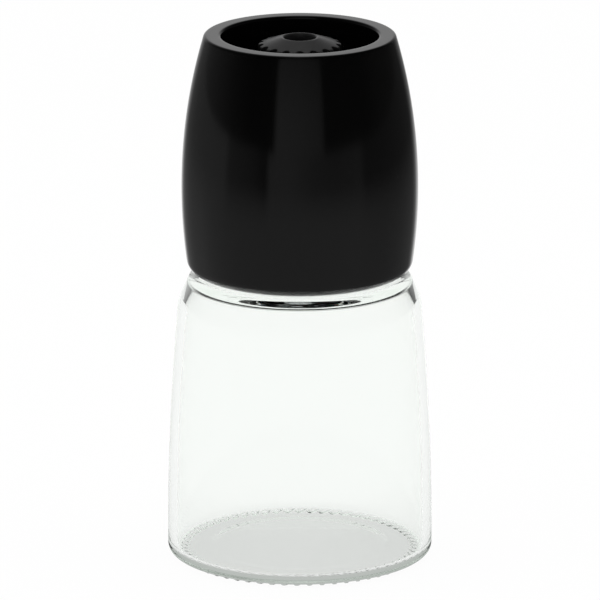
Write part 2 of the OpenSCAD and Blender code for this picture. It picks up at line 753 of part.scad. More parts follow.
glass_jar();
jar_gasket();
neck_collar();
drive_bridge();
glide_ring();
spindle();
spindle_washer();
burr_spring();
end_washer();
end_screw();
outer_shell();
grinder_housing();
retaining_ring();
housing_screw_1();
housing_screw_2();
housing_screw_3();
burr_cushion();
outer_burr();
inner_burr();
burr_hub();
spring_washer();
click_washer();
adjusting_knob();
knob_nut();
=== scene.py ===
import math

import bmesh
import bpy
from mathutils import Matrix, Vector


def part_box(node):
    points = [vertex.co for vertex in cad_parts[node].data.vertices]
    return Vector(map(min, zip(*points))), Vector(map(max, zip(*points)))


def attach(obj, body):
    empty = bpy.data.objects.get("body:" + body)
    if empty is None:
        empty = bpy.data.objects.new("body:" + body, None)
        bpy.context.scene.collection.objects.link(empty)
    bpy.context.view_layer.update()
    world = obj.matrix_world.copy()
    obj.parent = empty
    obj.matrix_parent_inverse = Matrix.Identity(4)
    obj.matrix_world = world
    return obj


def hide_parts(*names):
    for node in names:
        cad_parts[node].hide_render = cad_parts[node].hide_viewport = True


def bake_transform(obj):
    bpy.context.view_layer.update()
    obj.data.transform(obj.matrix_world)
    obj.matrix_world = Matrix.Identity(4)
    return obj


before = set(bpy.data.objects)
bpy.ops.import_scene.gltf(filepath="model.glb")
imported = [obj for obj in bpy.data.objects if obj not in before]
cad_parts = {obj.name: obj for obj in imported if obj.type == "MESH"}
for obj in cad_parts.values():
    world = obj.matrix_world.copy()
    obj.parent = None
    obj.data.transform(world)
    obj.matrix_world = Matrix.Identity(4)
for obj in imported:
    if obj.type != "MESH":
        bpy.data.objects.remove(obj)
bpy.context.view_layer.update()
MM = 0.001
TAU = 2 * math.pi


# ---- Table, backdrop and light ----
# The mill stands on a white table in a white sweep. Soft boxes hang above, on the left and on the
# right, and the room on the viewer's side is dim, which keeps the black head black.

def linear(hex_colour):
    """An sRGB hex colour as linear RGBA."""
    parts = [int(hex_colour[i:i + 2], 16) / 255 for i in (1, 3, 5)]
    return [c / 12.92 if c <= 0.04045 else ((c + 0.055) / 1.055) ** 2.4 for c in parts] + [1.0]


def add(tree, kind, settings=None, inputs=None):
    """Adds a node with its settings and inputs.

    A string for the settings is the operation. An input is a constant, a socket, or a node's
    first output.
    """
    node = tree.nodes.new(kind)
    if isinstance(settings, str):
        settings = {"operation": settings}
    for name, value in (settings or {}).items():
        setattr(node, name, value)
    for name, value in (inputs or {}).items():
        if isinstance(value, bpy.types.Node):
            value = value.outputs[0]
        if isinstance(value, bpy.types.NodeSocket):
            tree.links.new(value, node.inputs[name])
        else:
            node.inputs[name].default_value = value
    return node


MATH, VECTOR_MATH, MAP_RANGE = "ShaderNodeMath", "ShaderNodeVectorMath", "ShaderNodeMapRange"
NOISE, MIX_SHADER = "ShaderNodeTexNoise", "ShaderNodeMixShader"
EASED = {"interpolation_type": "SMOOTHSTEP"}


def new_material(name):
    """An empty node material, its tree, and the piece's own coordinates in it."""
    material = bpy.data.materials.new(name)
    material.use_nodes = True
    tree = material.node_tree
    tree.nodes.clear()
    return material, tree, add(tree, "ShaderNodeTexCoord").outputs["Object"]


def coat(piece, material):
    """Gives a piece its one material."""
    piece.data.materials.clear()
    piece.data.materials.append(material)


def finish_mesh(mesh, crease=35):
    """Smooth shading, broken where two faces meet at more than crease degrees."""
    mesh.polygons.foreach_set("use_smooth", [True] * len(mesh.polygons))
    mesh.set_sharp_from_angle(angle=math.radians(crease))


def mesh_object(name, shape):
    """An object from a bmesh, with its doubles merged and its faces pointing outwards."""
    bmesh.ops.remove_doubles(shape, verts=shape.verts, dist=0.0005 * MM)
    bmesh.ops.recalc_face_normals(shape, faces=shape.faces)
    mesh = bpy.data.meshes.new(name)
    shape.to_mesh(mesh)
    shape.free()
    finish_mesh(mesh)
    piece = bpy.data.objects.new(name, mesh)
    bpy.context.collection.objects.link(piece)
    return piece


# Brightness of the dim room by the way round it, in turns from straight behind. Glossy surfaces
# see the first row above the table's edge, the second one in the far part of the table, and the
# third one in its near part.
ROOM_ABOVE = ((0.0, 0.8), (0.06, 0.45), (0.1, 0.16), (0.15, 0.11), (0.21, 0.1), (0.25, 0.08),
              (0.29, 0.05), (0.33, 0.03), (0.36, 0.02), (0.425, 0.025), (0.437, 0.24), (0.5, 0.21),
              (0.56, 0.16), (0.572, 0.03), (0.7, 0.025), (0.75, 0.04), (0.85, 0.035), (0.9, 0.05),
              (0.95, 0.3), (1.0, 0.8))
ROOM_BELOW = ((0.0, 0.8), (0.05, 0.4), (0.09, 0.13), (0.14, 0.14), (0.19, 0.19), (0.237, 0.24),
              (0.285, 0.26), (0.3, 0.15), (0.375, 0.1), (0.408, 0.05), (0.42, 0.23), (0.47, 0.23),
              (0.54, 0.145), (0.6, 0.13), (0.665, 0.15), (0.685, 0.075), (0.8, 0.065),
              (0.9, 0.045), (0.95, 0.25), (1.0, 0.8))
TABLE_NEAR = ((0.0, 0.95), (0.05, 0.9), (0.075, 0.3), (0.1, 0.21), (0.13, 0.2), (0.155, 0.22),
              (0.2, 0.29), (0.25, 0.3), (0.65, 0.3), (0.7, 0.26), (0.764, 0.21), (0.81, 0.18),
              (0.855, 0.155), (0.89, 0.14), (0.915, 0.3), (0.935, 0.9), (1.0, 0.95))


def round_the_room(tree, x, y, lights):
    """The room's brightness in the direction of x and y."""
    ahead = add(tree, MATH, "MULTIPLY", {0: y, 1: -1.0})
    angle = add(tree, MATH, "ARCTAN2", {0: x, 1: ahead})
    turns = add(tree, MATH, "MULTIPLY_ADD", {0: angle, 1: 1 / TAU, 2: 0.5})
    ramp = add(tree, "ShaderNodeValToRGB", {}, {"Fac": turns})
    stops = ramp.color_ramp.elements
    while len(stops) < len(lights):
        stops.new(0.5)
    for stop, (place, light) in zip(stops, lights):
        stop.position = place
        stop.color = (light, light, light, 1)
    return ramp.outputs["Color"]


table_white, tree, spot = new_material("white_table")
matt = add(tree, "ShaderNodeBsdfDiffuse", {}, {"Color": linear("#F4F4F4")})
glow = add(tree, "ShaderNodeEmission", {}, {"Color": (1, 1, 1, 1), "Strength": 1.0})
path = add(tree, "ShaderNodeLightPath").outputs
xyz = add(tree, "ShaderNodeSeparateXYZ", {}, {0: spot}).outputs
in_front = add(tree, MAP_RANGE, EASED,
               {"Value": xyz["Y"], "From Min": -0.3, "From Max": -0.05, "To Min": 0.8, "To Max": 1.08})
through = add(tree, "ShaderNodeEmission", {}, {"Color": (1, 1, 1, 1), "Strength": in_front})
far = add(tree, VECTOR_MATH, "LENGTH", {0: spot}).outputs["Value"]
beyond = add(tree, MAP_RANGE, EASED, {"Value": far, "From Min": 0.28, "From Max": 0.75})
near_and_far = add(tree, "ShaderNodeMix", {"data_type": "RGBA"},
                   {0: beyond, 6: round_the_room(tree, xyz["X"], xyz["Y"], TABLE_NEAR),
                    7: round_the_room(tree, xyz["X"], xyz["Y"], ROOM_BELOW)})
mirrored = add(tree, "ShaderNodeEmission", {}, {"Color": near_and_far.outputs[2], "Strength": 1.0})
own_light, own_light_through = 0.97, 0.72      # shares that the lamps and shadows leave alone
seen = add(tree, MIX_SHADER, {}, {0: own_light, 1: matt, 2: glow})
seen_through = add(tree, MIX_SHADER, {}, {0: own_light_through, 1: matt, 2: through})
white = add(tree, MIX_SHADER, {}, {0: path["Is Camera Ray"], 1: matt, 2: seen})
white = add(tree, MIX_SHADER, {}, {0: path["Is Glossy Ray"], 1: white, 2: mirrored})
white = add(tree, MIX_SHADER, {}, {0: path["Is Transmission Ray"], 1: white, 2: seen_through})
add(tree, "ShaderNodeOutputMaterial", {}, {"Surface": white})

shape = bmesh.new()
bmesh.ops.create_grid(shape, x_segments=1, y_segments=1, size=4.0)
table = mesh_object("table", shape)
coat(table, table_white)

world = bpy.data.worlds.new("studio")
bpy.context.scene.world = world
world.use_nodes = True
tree = world.node_tree
tree.nodes.clear()
toward = add(tree, "ShaderNodeTexCoord").outputs["Generated"]
toward = add(tree, "ShaderNodeSeparateXYZ", {}, {0: toward}).outputs
path = add(tree, "ShaderNodeLightPath").outputs
# Brightness of the sweep behind the mill, falling off with height, and of the dim room in front of
# it.
behind = add(tree, MAP_RANGE, EASED,
             {"Value": toward["Y"], "From Min": -0.1, "From Max": 0.75, "To Min": 0.75, "To Max": 1.05})
high = add(tree, MAP_RANGE, EASED,
           {"Value": toward["Z"], "From Min": 0.0, "From Max": 0.6, "To Min": 1.0, "To Max": 0.35})
room = add(tree, MATH, "MULTIPLY", {0: behind, 1: high})
dim = add(tree, MATH, "MULTIPLY",
          {0: round_the_room(tree, toward["X"], toward["Y"], ROOM_ABOVE), 1: high})
lit = add(tree, "ShaderNodeBackground", {}, {"Color": (1, 1, 1, 1), "Strength": room})
mirrored = add(tree, "ShaderNodeBackground", {}, {"Color": (1, 1, 1, 1), "Strength": dim})
sheet = add(tree, "ShaderNodeBackground", {}, {"Color": (1, 1, 1, 1), "Strength": 1.0})
both = add(tree, MIX_SHADER, {}, {0: path["Is Camera Ray"], 1: lit, 2: sheet})
both = add(tree, MIX_SHADER, {}, {0: path["Is Glossy Ray"], 1: both, 2: mirrored})
add(tree, "ShaderNodeOutputWorld", {}, {"Surface": both})


def soft_box(name, place, width, height, power):
    """A rectangular soft box at place, facing the middle of the mill."""
    lamp = bpy.data.lights.new(name, "AREA")
    lamp.shape = "RECTANGLE"
    lamp.size, lamp.size_y = width, height
    lamp.energy = power
    box = bpy.data.objects.new(name, lamp)
    box.location = place
    box.rotation_euler = (Vector((0, 0, 0.08)) - Vector(place)).to_track_quat("-Z", "Y").to_euler()
    box.visible_glossy = False
    box.visible_transmission = False
    bpy.context.collection.objects.link(box)


soft_box("top_box", (0.0, 0.2, 1.6), 1.6, 1.2, 18)
soft_box("left_box", (-1.5, -0.6, 0.9), 0.5, 1.0, 6)
soft_box("right_box", (1.5, -0.5, 0.7), 0.4, 0.8, 4)

# The camera stands about two metres off with a long lens, looking down at the rim by fifteen
# degrees.
camera_data = bpy.data.cameras.new("camera")
camera_data.sensor_width = 36
camera_data.lens = 504.2
camera_data.shift_x = 0.00025
camera = bpy.data.objects.new("camera", camera_data)
camera.location = (0, -2.140, 0.6541)
camera.rotation_euler = (math.radians(90 - 15.29), 0, 0)
bpy.context.collection.objects.link(camera)
bpy.context.scene.camera = camera
bpy.context.scene.view_settings.view_transform = "Standard"


# ---- Glass jar ----
# Soda-lime glass, blown in two halves of a mould and fire polished. The mould presses a ring of
# slanted knurls into the heel, which the jar stands on, and a coarse thread into the neck.

def arc(centre, radius, start, end, steps):
    """Points on an arc in a half section, from one angle in degrees to another."""
    angles = [math.radians(start + (end - start) * i / steps) for i in range(steps + 1)]
    return [(centre[0] + radius * math.cos(a), centre[1] + radius * math.sin(a)) for a in angles]


def polar(centre, radius, angle):
    """The point at an angle in degrees round a centre."""
    return arc(centre, radius, angle, angle, 1)[0]


def fill(points, longest):
    """The points with more put between them, so that no straight part is longer than longest."""
    out = [points[0]]
    for a, b in zip(points, points[1:]):
        n = max(1, math.ceil(math.dist(a, b) / longest))
        out += [(a[0] + (b[0] - a[0]) * i / n, a[1] + (b[1] - a[1]) * i / n) for i in range(1, n + 1)]
    return out


def revolve(name, outline, sides, reshape=None):
    """Turns a half section in mm about Z. It is closed, or runs from axis to axis.

    sides is a number, or a list with one for each point, where neighbours are equal or three
    times each other.
    reshape gives the radius at a radius, a height and an angle, for pieces that aren't round.
    """
    counts = sides if isinstance(sides, list) else [sides] * len(outline)
    shape = bmesh.new()
    rings = []
    for (radius, height), count in zip(outline, counts):
        if radius < 1e-6:
            rings.append([shape.verts.new((0, 0, height * MM))])
            continue
        ring = []
        for i in range(count):
            angle = TAU * i / count
            r = (reshape(radius, height, angle) if reshape else radius) * MM
            ring.append(shape.verts.new((r * math.cos(angle), r * math.sin(angle), height * MM)))
        rings.append(ring)
    closed = outline[0][0] > 1e-6
    for k in range(len(rings) if closed else len(rings) - 1):
        a, b = rings[k], rings[(k + 1) % len(rings)]
        if len(a) < len(b):
            a, b = b, a
        ratio = len(a) // len(b)
        for j in range(len(b)):
            fan = [a[(j * ratio + i) % len(a)] for i in range(ratio + 1)]
            p, q = b[j], b[(j + 1) % len(b)]
            if p is q:
                for i in range(ratio):
                    shape.faces.new((fan[i], fan[i + 1], p))
            elif ratio == 1:
                shape.faces.new((fan[0], fan[1], q, p))
            else:
                shape.faces.new((fan[0], fan[1], p))
                shape.faces.new((fan[1], fan[2], q, p))
                shape.faces.new((fan[2], fan[3], q))
    return mesh_object(name, shape)


def keep_result(piece, modifier):
    """Makes a modifier's result the piece's own mesh, and removes the modifier."""
    mesh = bpy.data.meshes.new_from_object(piece.evaluated_get(bpy.context.evaluated_depsgraph_get()))
    piece.modifiers.remove(modifier)
    piece.data = mesh
    mesh.name = piece.name
    finish_mesh(mesh)
    return piece


def bake(piece, tree, values):
    """Runs a geometry tree over a piece, with values for its inputs, and keeps a plain mesh."""
    modifier = piece.modifiers.new("shape", "NODES")
    modifier.node_group = tree
    sockets = {item.name: item.identifier for item in tree.interface.items_tree
               if item.in_out == "INPUT"}
    for name, value in values.items():
        modifier[sockets[name]] = value
    return keep_result(piece, modifier)


def new_tree(name, *labels):
    """A geometry tree with its piece, a material and named numbers as inputs."""
    tree = bpy.data.node_groups.new(name, "GeometryNodeTree")
    tree.interface.new_socket("Geometry", in_out="OUTPUT", socket_type="NodeSocketGeometry")
    tree.interface.new_socket("Geometry", in_out="INPUT", socket_type="NodeSocketGeometry")
    tree.interface.new_socket("Material", in_out="INPUT", socket_type="NodeSocketMaterial")
    for label in labels:
        tree.interface.new_socket(label, in_out="INPUT", socket_type="NodeSocketFloat")
    return tree, tree.nodes.new("NodeGroupInput").outputs


def end_tree(tree, geometry, material):
    """Ends a geometry tree in real faces with their material."""
    solid = add(tree, "GeometryNodeRealizeInstances", {}, {0: geometry})
    painted = add(tree, "GeometryNodeSetMaterial", {}, {"Geometry": solid, "Material": material})
    add(tree, "NodeGroupOutput", {}, {0: painted})


def round_the_axis(tree):
    """Each point's distance from the axis, height, way round in turns, and direction outwards."""
    spot = add(tree, "GeometryNodeInputPosition")
    xyz = add(tree, "ShaderNodeSeparateXYZ", {}, {0: spot}).outputs
    level = add(tree, VECTOR_MATH, "MULTIPLY", {0: spot, 1: (1, 1, 0)})
    radius = add(tree, VECTOR_MATH, "LENGTH", {0: level}).outputs["Value"]
    outwards = add(tree, VECTOR_MATH, "NORMALIZE", {0: level})
    angle = add(tree, MATH, "ARCTAN2", {0: xyz["Y"], 1: xyz["X"]})
    turns = add(tree, MATH, "DIVIDE", {0: angle, 1: TAU})
    return radius, xyz["Z"], turns, outwards


jar_r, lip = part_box("glass_jar")[1].x / MM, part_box("glass_jar")[1].z / MM
neck_h = 13.5
shoulder = lip - neck_h     # top of the shoulder, where the neck rises
foot = 0.7                  # the glass that the knurls stand out of
glass_wall = 2.4
push_up = 0.5
punt_r, punt_rim, punt_step = 21.5, 3.5, 0.2     # hollow under the base, and the soft step round it
floor_in = foot + 2.0       # inside floor, at its edge
neck_r, mouth_r = 18.6, 15.8
stand_r = jar_r - 6.4
belly = 713.0               # radius of the side wall's long curve
tilt, turn = 5.0, 24.0      # lean of the wall at the top of the belly, and of the shoulder
heel, corner, bend, slope = 2.2, 2.2, 9.0, 5.4
floor_bend, ledge, throat_bend, inner_bend, lip_bend = 1.5, 3.0, 2.0, 1.6, 0.8


def sine(angle):
    return math.sin(math.radians(angle))


bend_rise = bend * (sine(turn) - sine(tilt)) + slope * sine(90 - turn)
belly_c = (jar_r - belly, shoulder - corner * (1 - sine(turn)) - bend_rise - belly * sine(tilt))
bend_c = polar(belly_c, belly - bend, tilt)
lean = (-slope * sine(turn), slope * sine(90 - turn))
corner_c = polar((bend_c[0] + lean[0], bend_c[1] + lean[1]), bend - corner, turn)
heel_a = math.degrees(math.asin((foot + heel - belly_c[1]) / (belly - heel)))
heel_c = polar(belly_c, belly - heel, heel_a)
inside = belly - glass_wall
floor_a = math.degrees(math.asin((floor_in + floor_bend - belly_c[1]) / (inside - floor_bend)))
floor_c = polar(belly_c, inside - floor_bend, floor_a)
inner_c = polar((bend_c[0] + lean[0] * 0.75, bend_c[1] + lean[1] * 0.75),
                bend - glass_wall - inner_bend, turn)


def punt(radius):
    """Rise of the hollow under the base."""
    if radius < punt_r:
        return punt_step + (push_up - punt_step) * (1 - (radius / punt_r) ** 2)
    t = min(1.0, (radius - punt_r) / punt_rim)
    return punt_step * (0.5 + 0.5 * math.cos(math.pi * t))


across = [i * 1.0 for i in range(21)] + [punt_r + punt_rim * i / 8 for i in range(9)]
under = [(r, foot + punt(r)) for r in across] + fill([(across[-1], foot), (stand_r, foot)], 1.0)[1:-1]
knurled = fill([(stand_r, foot), (heel_c[0], foot)], 0.22) + arc(heel_c, heel, -90, heel_a, 16)[1:]
body = (arc(belly_c, belly, heel_a, tilt, 34)[1:] + arc(bend_c, bend, tilt, turn, 8)[1:]
        + arc(corner_c, corner, turn, 90, 10)
        + arc((neck_r + lip_bend, shoulder + lip_bend), lip_bend, 270, 180, 6))
neck = fill([(neck_r, shoulder + lip_bend), (neck_r, lip - lip_bend)], 0.2)[1:-1]
throat = (arc((neck_r - lip_bend, lip - lip_bend), lip_bend, 0, 90, 6)
          + arc((mouth_r + lip_bend, lip - lip_bend), lip_bend, 90, 180, 6)
          + fill([(mouth_r, lip - lip_bend), (mouth_r, shoulder - ledge + throat_bend)], 1.5)[1:-1]
          + arc((mouth_r + throat_bend, shoulder - ledge + throat_bend), throat_bend, 180, 270, 8)
          + fill([(mouth_r + throat_bend, shoulder - ledge), (inner_c[0], shoulder - ledge)], 1.5)[1:-1]
          + arc((inner_c[0], shoulder - ledge - inner_bend), inner_bend, 90, turn, 6))
hollow = (arc(bend_c, bend - glass_wall, turn, tilt, 8) + arc(belly_c, inside, tilt, floor_a, 30)[1:]
          + arc(floor_c, floor_bend, floor_a, -90, 10)[1:]
          + fill([(floor_c[0], floor_in), (across[-1], floor_in)], 1.0)[1:-1]
          + [(r, floor_in) for r in reversed(across)])
outline = under + knurled + body + neck + throat + hollow
sides = ([240] * len(under) + [720] * len(knurled)
         + [240] * (len(outline) - len(under) - len(knurled)))
jar = revolve("jar", outline, sides)

glass, tree, place = new_material("soda_lime_glass")
# Blown glass is clear with a faint green-grey cast in its depth. Its skin is smooth, with long
# shallow waves where the parison was blown against the mould.
waves = add(tree, NOISE, {}, {"Vector": place, "Scale": 90.0, "Detail": 1.0})
swell = add(tree, "ShaderNodeBump", {}, {"Strength": 0.15, "Distance": 0.02 * MM, "Height": waves})
glass_ior = 1.52
mirroring = add(tree, "ShaderNodeBsdfPrincipled", {}, {
    "Base Color": linear("#FFFFFF"), "Roughness": 0.0, "IOR": glass_ior, "Transmission Weight": 1.0,
    "Normal": swell})
clear = add(tree, "ShaderNodeBsdfRefraction", {}, {
    "Color": linear("#FCFDFC"), "Roughness": 0.0, "IOR": glass_ior, "Normal": swell})
depth = add(tree, "ShaderNodeVolumeAbsorption", {}, {"Color": linear("#EDF2EE"), "Density": 20.0})
# The thin polished skin mirrors little, except where light is turned back inside the glass.
mirror = add(tree, "ShaderNodeFresnel", {}, {"IOR": glass_ior, "Normal": swell})
share = add(tree, MAP_RANGE, {}, {
    "Value": mirror, "From Min": 0.85, "From Max": 1.0, "To Min": 0.35})
skin = add(tree, MIX_SHADER, {}, {0: share, 1: clear, 2: mirroring})
# Paths turned back inside the glass more than three times end in a painted glow, an even emission
# that stands in for their light: pale in the walls, and painted a little dimmer in the foot.
path = add(tree, "ShaderNodeLightPath").outputs
last_turn = 3.5
deep = add(tree, MATH, "GREATER_THAN", {0: path["Glossy Depth"], 1: last_turn})
painted_glow_in_foot = add(tree, MAP_RANGE, {}, {"Value": path["Transmission Depth"], "From Min": 1.0,
                                    "From Max": 3.0, "To Min": 0.62, "To Max": 0.92})
level = add(tree, "ShaderNodeSeparateXYZ", {}, {0: place}).outputs["Z"]
above_foot = add(tree, MAP_RANGE, {}, {"Value": level, "From Min": 6 * MM, "From Max": 12 * MM})
strength = add(tree, "ShaderNodeMix", {"data_type": "FLOAT"}, {0: above_foot, 2: painted_glow_in_foot, 3: 1.15})
# Painted glow: the glass emits this light itself, though it is no lamp.
glow = add(tree, "ShaderNodeEmission", {}, {"Color": linear("#F2F4F2"), "Strength": strength})
surface = add(tree, MIX_SHADER, {}, {0: deep, 1: skin, 2: glow})
add(tree, "ShaderNodeOutputMaterial", {}, {"Surface": surface, "Volume": depth})
coat(jar, glass)

# Knurls: ridges round the foot, turned off the radial line, which stand down out of the bearing
# ring.
tree, given = new_tree("knurled_foot", "Count", "Inside", "Outside", "Height", "Slant", "Top")
radius, height, turns, outwards = round_the_axis(tree)
swirl = add(tree, MATH, "MULTIPLY", {0: radius, 1: given["Slant"]})
share = add(tree, MATH, "MULTIPLY_ADD", {0: turns, 1: given["Count"], 2: swirl})
phase = add(tree, MATH, "MULTIPLY", {0: share, 1: TAU})
wave = add(tree, MATH, "COSINE", {0: phase})
ridge = add(tree, MAP_RANGE, EASED,
            {"Value": wave, "From Min": -0.35, "From Max": 0.75, "To Max": given["Height"]})
inner_end = add(tree, MATH, {}, {0: given["Inside"], 1: 0.6 * MM})
outer_end = add(tree, MATH, "SUBTRACT", {0: given["Outside"], 1: 0.8 * MM})
starts = add(tree, MAP_RANGE, EASED,
             {"Value": radius, "From Min": given["Inside"], "From Max": inner_end})
stops = add(tree, MAP_RANGE, EASED,
            {"Value": radius, "From Min": given["Outside"], "From Max": outer_end})
low = add(tree, MATH, "LESS_THAN", {0: height, 1: given["Top"]})
drop = ridge
for limit in (starts, stops, low):
    drop = add(tree, MATH, "MULTIPLY", {0: drop, 1: limit})
down = add(tree, VECTOR_MATH, "SCALE", {0: (0, 0, -1), "Scale": drop})
knurls = add(tree, "GeometryNodeSetPosition", {}, {"Geometry": given["Geometry"], "Offset": down})
end_tree(tree, knurls, given["Material"])
bake(jar, tree, {"Material": glass, "Count": 60.0, "Slant": 164.0, "Height": foot * MM, "Top": 1.6 * MM,
                 "Inside": (stand_r + 0.8) * MM, "Outside": (jar_r - 2.3) * MM})

# Thread: a ridge that climbs round a wall, pushed outwards, or inwards where its height is
# negative.
thread, given = new_tree("helical_thread", "Pitch", "Start", "Turns", "Height", "Root", "Crest",
                         "Inside", "Outside")
radius, height, turns, outwards = round_the_axis(thread)
way_round = add(thread, MATH, "FRACT", {
    0: add(thread, MATH, {}, {0: turns, 1: 1.0})})
climb = add(thread, MATH, "SUBTRACT", {0: height, 1: given["Start"]})
climb = add(thread, MATH, "DIVIDE", {0: climb, 1: given["Pitch"]})
lap = add(thread, MATH, "SUBTRACT", {0: climb, 1: way_round})
whole = add(thread, MATH, "ROUND", {0: lap})
off = add(thread, MATH, "SUBTRACT", {0: lap, 1: whole})
off = add(thread, MATH, "ABSOLUTE", {0: off})
off = add(thread, MATH, "MULTIPLY", {0: off, 1: given["Pitch"]})
half_root = add(thread, MATH, "MULTIPLY", {0: given["Root"], 1: 0.5})
half_crest = add(thread, MATH, "MULTIPLY", {0: given["Crest"], 1: 0.5})
flank = add(thread, MAP_RANGE, EASED,
            {"Value": off, "From Min": half_root, "From Max": half_crest, "To Max": given["Height"]})
along = add(thread, MATH, {}, {0: whole, 1: way_round})
left = add(thread, MATH, "SUBTRACT", {0: given["Turns"], 1: along})
nearest_end = add(thread, MATH, "MINIMUM", {0: along, 1: left})
fade = add(thread, MAP_RANGE, EASED,
           {"Value": nearest_end, "From Min": 0.0, "From Max": 0.125})
beyond = add(thread, MATH, "GREATER_THAN", {0: radius, 1: given["Inside"]})
within = add(thread, MATH, "LESS_THAN", {0: radius, 1: given["Outside"]})
push = flank
for limit in (fade, beyond, within):
    push = add(thread, MATH, "MULTIPLY", {0: push, 1: limit})
aside = add(thread, VECTOR_MATH, "SCALE", {0: outwards, "Scale": push})
ridged = add(thread, "GeometryNodeSetPosition", {}, {"Geometry": given["Geometry"], "Offset": aside})
end_tree(thread, ridged, given["Material"])


def cut_thread(piece, material, wall, height, pitch, start, laps, root, crest, band=0.05):
    """Raises a thread on the part of a piece that lies within band of a wall's radius, in mm."""
    sizes = {"Pitch": pitch, "Start": start, "Height": height, "Root": root, "Crest": crest,
             "Inside": wall - band, "Outside": wall + band}
    sizes = {name: size * MM for name, size in sizes.items()}
    bake(piece, thread, {"Material": material, "Turns": laps, **sizes})
    coat(piece, material)


cut_thread(jar, glass, neck_r, 1.1, pitch=3.6, start=shoulder + 5.2, laps=1.5, root=2.0, crest=0.8,
           band=0.1)
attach(jar, "jar")
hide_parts("glass_jar")


# ---- Jar gasket ----
# A flat ring of food-grade silicone, moulded with soft edges. The collar's top plate presses it
# onto the jar's lip.

def ring_section(inner, outer, low, high, edge, steps):
    """The half section of a ring with its four edges rounded."""
    corners = ((inner, low, 180), (outer, low, 270), (outer, high, 0), (inner, high, 90))
    section = []
    for x, z, start in corners:
        centre = (x + edge if x == inner else x - edge, z + edge if z == low else z - edge)
        section += arc(centre, edge, start, start + 90, steps)
    return section


def span(node):
    """Lowest and highest point of a CAD piece, and its outside radius, in mm."""
    low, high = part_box(node)
    return low.z / MM, high.z / MM, high.x / MM


def ring(name, node, bore, edge, material, steps=2, sides=64):
    """A ring as high and as wide as its CAD piece, with its own bore and rounded edges."""
    low, high, out = span(node)
    piece = revolve(name, ring_section(bore, out, low, high, edge, steps), sides)
    coat(piece, material)
    return piece


def between(tree, pattern, dark, light):
    """A colour that runs between two with a pattern."""
    ends = {6: linear(dark), 7: linear(light)}
    return add(tree, "ShaderNodeMix", {"data_type": "RGBA"}, {0: pattern, **ends}).outputs[2]


def finish_material(tree, colour, roughness, relief, others):
    """Ends a material with its surface: roughness runs between two values with a pattern.

    relief is None, or a pattern with its strength and its depth in mm. others are the
    surface's other inputs.
    """
    pattern, smooth, rough = roughness
    dull = add(tree, MAP_RANGE, {}, {"Value": pattern, "To Min": smooth, "To Max": rough})
    inputs = {"Base Color": colour, "Roughness": dull, **others}
    if relief:
        pattern, strength, depth = relief
        inputs["Normal"] = add(tree, "ShaderNodeBump", {}, {
            "Strength": strength, "Distance": depth * MM, "Height": pattern})
    surface = add(tree, "ShaderNodeBsdfPrincipled", {}, inputs)
    add(tree, "ShaderNodeOutputMaterial", {}, {"Surface": surface})


silicone, tree, place = new_material("moulded_silicone")
# Clear silicone is cloudy white in the thick, with a dry, slightly uneven skin.
cloud = add(tree, NOISE, {}, {"Vector": place, "Scale": 350.0, "Detail": 3.0})
tint = between(tree, cloud, "#D6D6CF", "#E6E6E1")
finish_material(tree, tint, (cloud, 0.42, 0.58), (cloud, 0.2, 0.03),
                {"IOR": 1.41, "Subsurface Weight": 0.3, "Subsurface Scale": 0.8 * MM})

gasket = ring("gasket", "jar_gasket", mouth_r + 0.5, 0.3, silicone, steps=4, sides=128)
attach(gasket, "seal")
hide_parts("jar_gasket")


# ---- Neck collar ----
# Glass-filled nylon, moulded. It screws down on the neck and carries the whole head. The flange
# round it is the head's bearing, and the three pockets in its top hold the bridge's lugs.

def softened(node, name, width, material):
    """A copy of a CAD piece with its sharp edges broken by a small bevel."""
    shape = bmesh.new()
    shape.from_mesh(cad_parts[node].data)
    bmesh.ops.remove_doubles(shape, verts=shape.verts, dist=0.002 * MM)
    bmesh.ops.dissolve_limit(shape, angle_limit=math.radians(1.0), verts=shape.verts, edges=shape.edges)
    bmesh.ops.triangulate(shape, faces=[face for face in shape.faces if len(face.verts) > 4])
    piece = mesh_object(name, shape)
    bevel = piece.modifiers.new("broken_edges", "BEVEL")
    bevel.width = width * MM
    bevel.segments = 1
    bevel.limit_method = "ANGLE"
    bevel.angle_limit = math.radians(40)
    bevel.use_clamp_overlap = True
    keep_result(piece, bevel)
    coat(piece, material)
    return piece


nylon, tree, place = new_material("moulded_nylon")
# Black glass-filled nylon: a matt, faintly mottled skin where the glass fibres lie just under it.
grain = add(tree, NOISE, {}, {"Vector": place, "Scale": 1800.0, "Detail": 3.0})
mottle = add(tree, NOISE, {}, {"Vector": place, "Scale": 220.0, "Detail": 4.0})
tint = between(tree, mottle, "#111113", "#1B1B1E")
finish_material(tree, tint, (mottle, 0.48, 0.62), (grain, 0.3, 0.04), {"IOR": 1.53})

collar = softened("neck_collar", "collar", 0.25, nylon)
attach(collar, "collar")
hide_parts("neck_collar")


# ---- Drive bridge ----
# Stainless sheet, 1.6 mm thick, stamped with three arms and tumbled to take off its burrs.
# Peppercorns fall past the arms. Its square hole keeps the spindle from turning.

stamped_steel, tree, place = new_material("stamped_steel")
# Rolled sheet keeps the fine straight lines of the rolls, and tumbling leaves small dull patches
# across them.
drawn = add(tree, "ShaderNodeMapping", {}, {"Vector": place, "Scale": (60.0, 4000.0, 600.0)})
lines = add(tree, NOISE, {}, {"Vector": drawn, "Scale": 1.0, "Detail": 3.0})
patch = add(tree, NOISE, {}, {"Vector": place, "Scale": 500.0, "Detail": 2.0})
tint = between(tree, lines, "#A9ABAE", "#C4C5C7")
finish_material(tree, tint, (patch, 0.24, 0.4), (lines, 0.25, 0.01), {"Metallic": 1.0})

bridge = softened("drive_bridge", "bridge", 0.18, stamped_steel)
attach(bridge, "collar")
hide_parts("drive_bridge")


# ---- Glide ring ----
# A washer punched out of acetal sheet. The housing slides on it when the grip is turned, and its
# punched edges are barely rounded.

acetal, tree, place = new_material("acetal_sheet")
